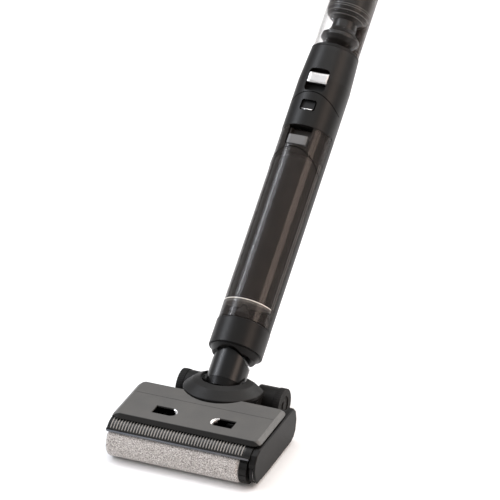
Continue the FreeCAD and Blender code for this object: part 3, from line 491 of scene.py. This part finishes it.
def make_tank_lines():
    """Two rows of beige dashes up each side of the tank."""
    low, high = wand_span("tank_shell")
    core_low, core_high = wand_span("tank_core")
    radius = high[0] - 0.35
    foot = core_low[2] + 3
    head = low[2] + (core_high[2] - low[2]) * 0.86
    pitch, dash = 3.4, 2.3
    stations = between(foot, head, int((head - foot) / pitch))[:-1]
    for side, name, degrees in ((1, "right", 77), (-1, "left", 60)):
        dashes = []
        for inward in (0, 6.075):
            angle = side * (math.radians(degrees) - math.radians(inward))
            for s in stations:
                path = [ring_point(radius, angle, s), ring_point(radius, angle, s + dash)]
                dashes.append(bar(path, RIGHT, 1.0 * MM, 0.8 * MM, 6))
        piece = mesh_piece("tank_seam_" + name, *joined(dashes))
        finish_piece(piece, "water_tank", LOOKS["seam_beige"])


def make_ring_highlight_line():
    """A bright ridge where the tank's body meets its foot, on the front arc only: a painted highlight along the
    top of the tank's ring.
    """
    s = wand_span("tank_ring")[1][2]
    outer = -wand_span("tank_shell")[0][1]
    profile = ridge(outer, s, 0.5, 0.12, (-0.8, -0.6, 0.5, 0.7))
    piece = mesh_piece("ring_highlight_line", *lathe(profile, 72, (math.radians(-82), math.radians(70))))
    finish_piece(piece, "water_tank", LOOKS["ring_painted_highlight"])


def arch_path(radius, crown, arch_radius, reach, steps=40):
    """Points on the wand's skin along a round-arched seam."""
    path = []
    for step in range(steps + 1):
        x = reach * (2 * step / steps - 1)
        s = crown - arch_radius + math.sqrt(arch_radius ** 2 - x ** 2)
        path.append(wand(x, -math.sqrt(radius ** 2 - x ** 2), s))
    return path


def make_arch_seals():
    """Thin dark seals in the arched seams of the front panel and of the tank's lid."""
    for name, node, arch_radius, lift, body in (("panel_seal", "front_housing", 57, 0.0, "wand"),
                                                ("lid_seal", "tank_shell", 47, 0.05, "water_tank")):
        low, high = wand_span(node)
        radius = -low[1] + lift
        path = arch_path(radius, high[2] + 0.1, arch_radius, radius * 0.985)
        piece = mesh_piece(name, *bar(path, ALONG, 1.5 * MM, 0.5 * MM))
        finish_piece(piece, body, LOOKS["seam_black"])


def make_window_rim():
    """The dark rounded rim of the square window in the front panel."""
    low, high = wand_span("status_window")
    radius = -wand_span("front_housing")[0][1]
    centre = (low[2] + high[2]) / 2
    gap, corner, proud = 0.1, 4.2, 0.2
    half_x, half_s = high[0] + gap, (high[2] - low[2]) / 2 + gap
    nudge = 1e-6    # keeps the signs at a quarter turn on the next side
    path = []
    for quarter in range(4):
        for step in range(7):
            angle = math.pi / 2 * (quarter + step / 6)
            x = math.copysign(half_x - corner, math.cos(angle + nudge)) + corner * math.cos(angle)
            s = math.copysign(half_s - corner, math.sin(angle + nudge)) + corner * math.sin(angle)
            path.append(wand(x, -math.sqrt(radius ** 2 - x ** 2) + proud, centre + s))
    section = ((-1.1, -0.6), (1.1, -0.6), (1.1, 0.25), (-1.1, 0.25))    # sideways, out of the panel
    rows = []
    for index, point in enumerate(path):
        tangent = (path[(index + 1) % len(path)] - path[index - 1]).normalized()
        side = tangent.cross(FRONT).normalized()
        rows.append([point + side * a * MM + FRONT * b * MM for a, b in section])
    piece = mesh_piece("window_rim", *sheet_of_rows(rows + [rows[0]], True, False))
    finish_piece(piece, "wand", LOOKS["seam_black"])


def make_window_glint_strip():
    """A bright strip at the foot of the square window in the front panel: a painted glint along its lower edge."""
    low, high = wand_span("status_window")
    inset = 0.6
    path = [wand(x, low[1] - 1.2, low[2] + 1.7) for x in (low[0] + inset, 0, high[0] - inset)]
    piece = mesh_piece("window_glint_strip", *bar(path, ALONG, 2.6 * MM, 1.6 * MM, 12))
    finish_piece(piece, "wand", LOOKS["chrome_with_painted_glint"])


# ---------------------------------------------------------------- the wand's back

def screw_head(centre, normal, radius):
    """A domed screw head with a cross recess, on a surface that faces that way."""
    up = normal.cross(RIGHT).normalized()
    across = up.cross(normal).normalized()
    rows = []
    for share, rise in ((1.0, -0.3), (1.0, 0.25), (0.86, 0.5), (0.3, 0.62), (0.26, 0.15)):
        row = []
        for turn in angles_round(24):
            arm = 1.0 if share > 0.5 else 0.55 + 0.9 * abs(math.cos(2 * turn)) ** 3
            reach = radius * share * arm * MM
            row.append(centre + across * math.cos(turn) * reach + up * math.sin(turn) * reach
                       + normal * rise * MM)
        rows.append(row)
    return sheet_of_rows(rows, True, True)


def make_spine_screws():
    """Screws down the back of the spine and the socket."""
    low, high = wand_span("wand_spine")
    radius = 3.4
    stations = (low[2] + 22, low[2] + 130, low[2] + 238, high[2] - 20, high[2] + 60)
    heads = [screw_head(wand(0, high[1], s), -FRONT, radius) for s in stations]
    piece = mesh_piece("spine_screws", *joined(heads))
    finish_piece(piece, "wand", LOOKS["motor_metal"])


def make_spine_ridges():
    """Two long moulded ridges down the back of the spine, either side of its screws."""
    low, high = wand_span("wand_spine")
    ridges = []
    for side in (-1, 1):
        angle = math.pi - side * math.radians(24)
        path = [ring_point(high[1], angle, low[2] + (high[2] - low[2]) * share)
                for share in (0.03, 0.3, 0.6, 0.97)]
        ridges.append(bar(path, RIGHT, 1.6 * MM, 1.0 * MM))
    piece = mesh_piece("spine_ridges", *joined(ridges))
    finish_piece(piece, "wand", LOOKS["satin_black"])


# ---------------------------------------------------------------- the hand unit

def make_filter_mesh():
    """Fine upright bars and hoops round the cyclone's filter."""
    low, high = wand_span("cyclone_filter")
    radius = high[0] - 0.4
    head = high[2] - 1
    foot = low[2] + 30
    bars, hoops = 90, 14
    parts = []
    for angle in angles_round(bars):
        across = RIGHT * math.cos(angle) - FRONT * math.sin(angle)
        path = [ring_point(radius, angle, s) for s in (foot, (foot + head) / 2, head)]
        parts.append(bar(path, across, 0.9 * MM, 0.9 * MM, 6))
    for s in between(foot, head, hoops - 1):
        parts.append(lathe(ridge(radius, s, 0.4, 0.35, (-0.4, -0.4, 0.4, 0.4))))
    piece = mesh_piece("filter_mesh", *joined(parts))
    finish_piece(piece, "hand_unit", LOOKS["cyclone_dark"])


def make_cyclone_rings():
    """Moulded rings round the cyclone's cone and filter, in lighter grey than it: a painted highlight along each
    ring.
    """
    foot = wand_span("cyclone_filter")[0][2]
    rings = []
    for radius, rise in ((29, 16.8), (35, 22.8), (37, 29.4), (37, 33.0)):
        rings.append(lathe(ridge(radius, foot + rise, 0.6, 0.25, (-0.6, -0.4, 0.4, 0.6)), 72))
    piece = mesh_piece("cyclone_rings", *joined(rings))
    finish_piece(piece, "hand_unit", LOOKS["ring_grey_painted_highlight"])


def make_vents():
    """Rows of exhaust slots on both flanks of the motor housing."""
    low, high = wand_span("motor_housing")
    first, pitch = low[2] + 24, 8.5
    slots = []
    for side in (-1, 1):
        arc = sorted((side * math.radians(62), side * math.radians(116)))
        for index in range(9):
            profile = ridge(high[0], first + pitch * index, 0.6, 0.15, (0, 0.3, 2.9, 3.2))
            slots.append(lathe(profile, 18, arc))
    piece = mesh_piece("exhaust_slots", *joined(slots))
    finish_piece(piece, "hand_unit", LOOKS["pane_black"])


def make_grip_rings():
    """Soft rings round the upper part of the grip, for the fingers."""
    first, pitch = wand_span("hand_grip")[1][2] - 72, 3.6
    straight, flare = 7, 0.9    # rings before the grip widens, and by how much it does
    rings = []
    for index in range(14):
        radius = 16.2 + flare * max(0, index - straight) / 7
        profile = ridge(radius, first + pitch * index, 0.6, 0.35, (0, 0.4, 1.5, 1.9))
        rings.append(lathe(profile, 24, (math.radians(60), math.radians(300))))
    piece = mesh_piece("grip_rings", *joined(rings))
    finish_piece(piece, "hand_unit", LOOKS["rubber"])


make_window_lip()
make_window_rim()
make_cyclone_rings()
make_ring_highlight_line()
make_vents()
make_spine_screws()
make_spine_ridges()
make_grip_rings()
make_cutout_glint_crescents()
make_arch_seals()
make_window_glint_strip()
make_plush()
make_window_ribs()
make_wheel_treads()
make_tank_lines()
make_filter_mesh()


# ---------------------------------------------------------------- stage, light and camera

def make_floor():
    """A wide pale floor."""
    half = 30
    points = [(-half, -half, 0), (half, -half, 0), (half, half, 0), (-half, half, 0)]
    floor = mesh_piece("floor", points, [(0, 1, 2, 3)])
    look, nodes, links, principled = shader("floor")
    clouds = noise_node(nodes, links, 3, 3)
    pale = [(0.3, (0.93, 0.93, 0.93)), (0.7, (0.96, 0.96, 0.96))]
    links.new(ramp(nodes, links, clouds.outputs["Fac"], pale), principled.inputs["Base Color"])
    principled.inputs["Roughness"].default_value = 0.7
    floor.data.materials.append(look)


def make_light(name, direction, *, distance, size, watts, colour=(1, 1, 1), along=(0, 0, 1)):
    """A softbox that faces the middle of the wand from that direction."""
    target = wand(0, 0, 260)
    data = bpy.data.lights.new(name, "AREA")
    data.shape = "RECTANGLE"
    data.size, data.size_y = size
    data.energy = watts
    data.color = colour
    light = bpy.data.objects.new(name, data)
    back = Vector(direction).normalized()
    side = Vector(along).cross(back).normalized()
    turn = Matrix((side, back.cross(side), back)).transposed().to_4x4()
    light.matrix_world = Matrix.Translation(target + back * distance) @ turn
    bpy.context.scene.collection.objects.link(light)


def make_camera():
    """The photo's camera, as fitted to measured points of the photo."""
    azimuth, elevation, roll = math.radians(23.362), math.radians(28.345), math.radians(-0.686)
    distance, lens, sensor = 6, 272.9085, 36
    aim = Vector((0.034409, 0.159980, 0.303111))
    back = Vector((math.sin(azimuth) * math.cos(elevation),
                   -math.cos(azimuth) * math.cos(elevation), math.sin(elevation)))
    level = Vector((math.cos(azimuth), math.sin(azimuth), 0))
    upward = back.cross(level)
    side = level * math.cos(roll) + upward * math.sin(roll)
    upright = upward * math.cos(roll) - level * math.sin(roll)
    data = bpy.data.cameras.new("camera")
    data.sensor_width = sensor
    data.lens = lens
    camera = bpy.data.objects.new("camera", data)
    turn = Matrix((side, upright, back)).transposed().to_4x4()
    camera.matrix_world = Matrix.Translation(aim + back * distance) @ turn
    bpy.context.scene.collection.objects.link(camera)
    bpy.context.scene.camera = camera


def make_world():
    """Even white surroundings."""
    world = bpy.data.worlds.new("world")
    world.use_nodes = True
    background = world.node_tree.nodes["Background"]
    background.inputs["Color"].default_value = (1, 1, 1, 1)
    background.inputs["Strength"].default_value = 0.42
    bpy.context.scene.world = world


COOL_WHITE, BLUE_WHITE, WARM = (0.95, 0.97, 1.0), (0.86, 0.9, 1.0), (1.0, 0.78, 0.66)
make_floor()
make_light("top", (0.05, 0.3, 1), distance=3.4, size=(3.2, 3.2), watts=84)
make_light("strip_left", (-0.735, -0.094, 0.671), distance=2.6, size=(0.16, 2.8), watts=26,
           colour=COOL_WHITE, along=ALONG)
make_light("wide_left", (-0.752, -0.214, 0.634), distance=2.9, size=(1.5, 2.8), watts=44,
           colour=BLUE_WHITE, along=ALONG)
make_light("strip_right", (0.814, -0.023, 0.580), distance=2.6, size=(1.15, 2.8), watts=34,
           colour=WARM, along=ALONG)
make_light("rear", (0.65, 0.9, 0.55), distance=3.2, size=(1.6, 1.2), watts=42)
make_world()
bpy.context.scene.view_settings.view_transform = "Standard"
make_camera()
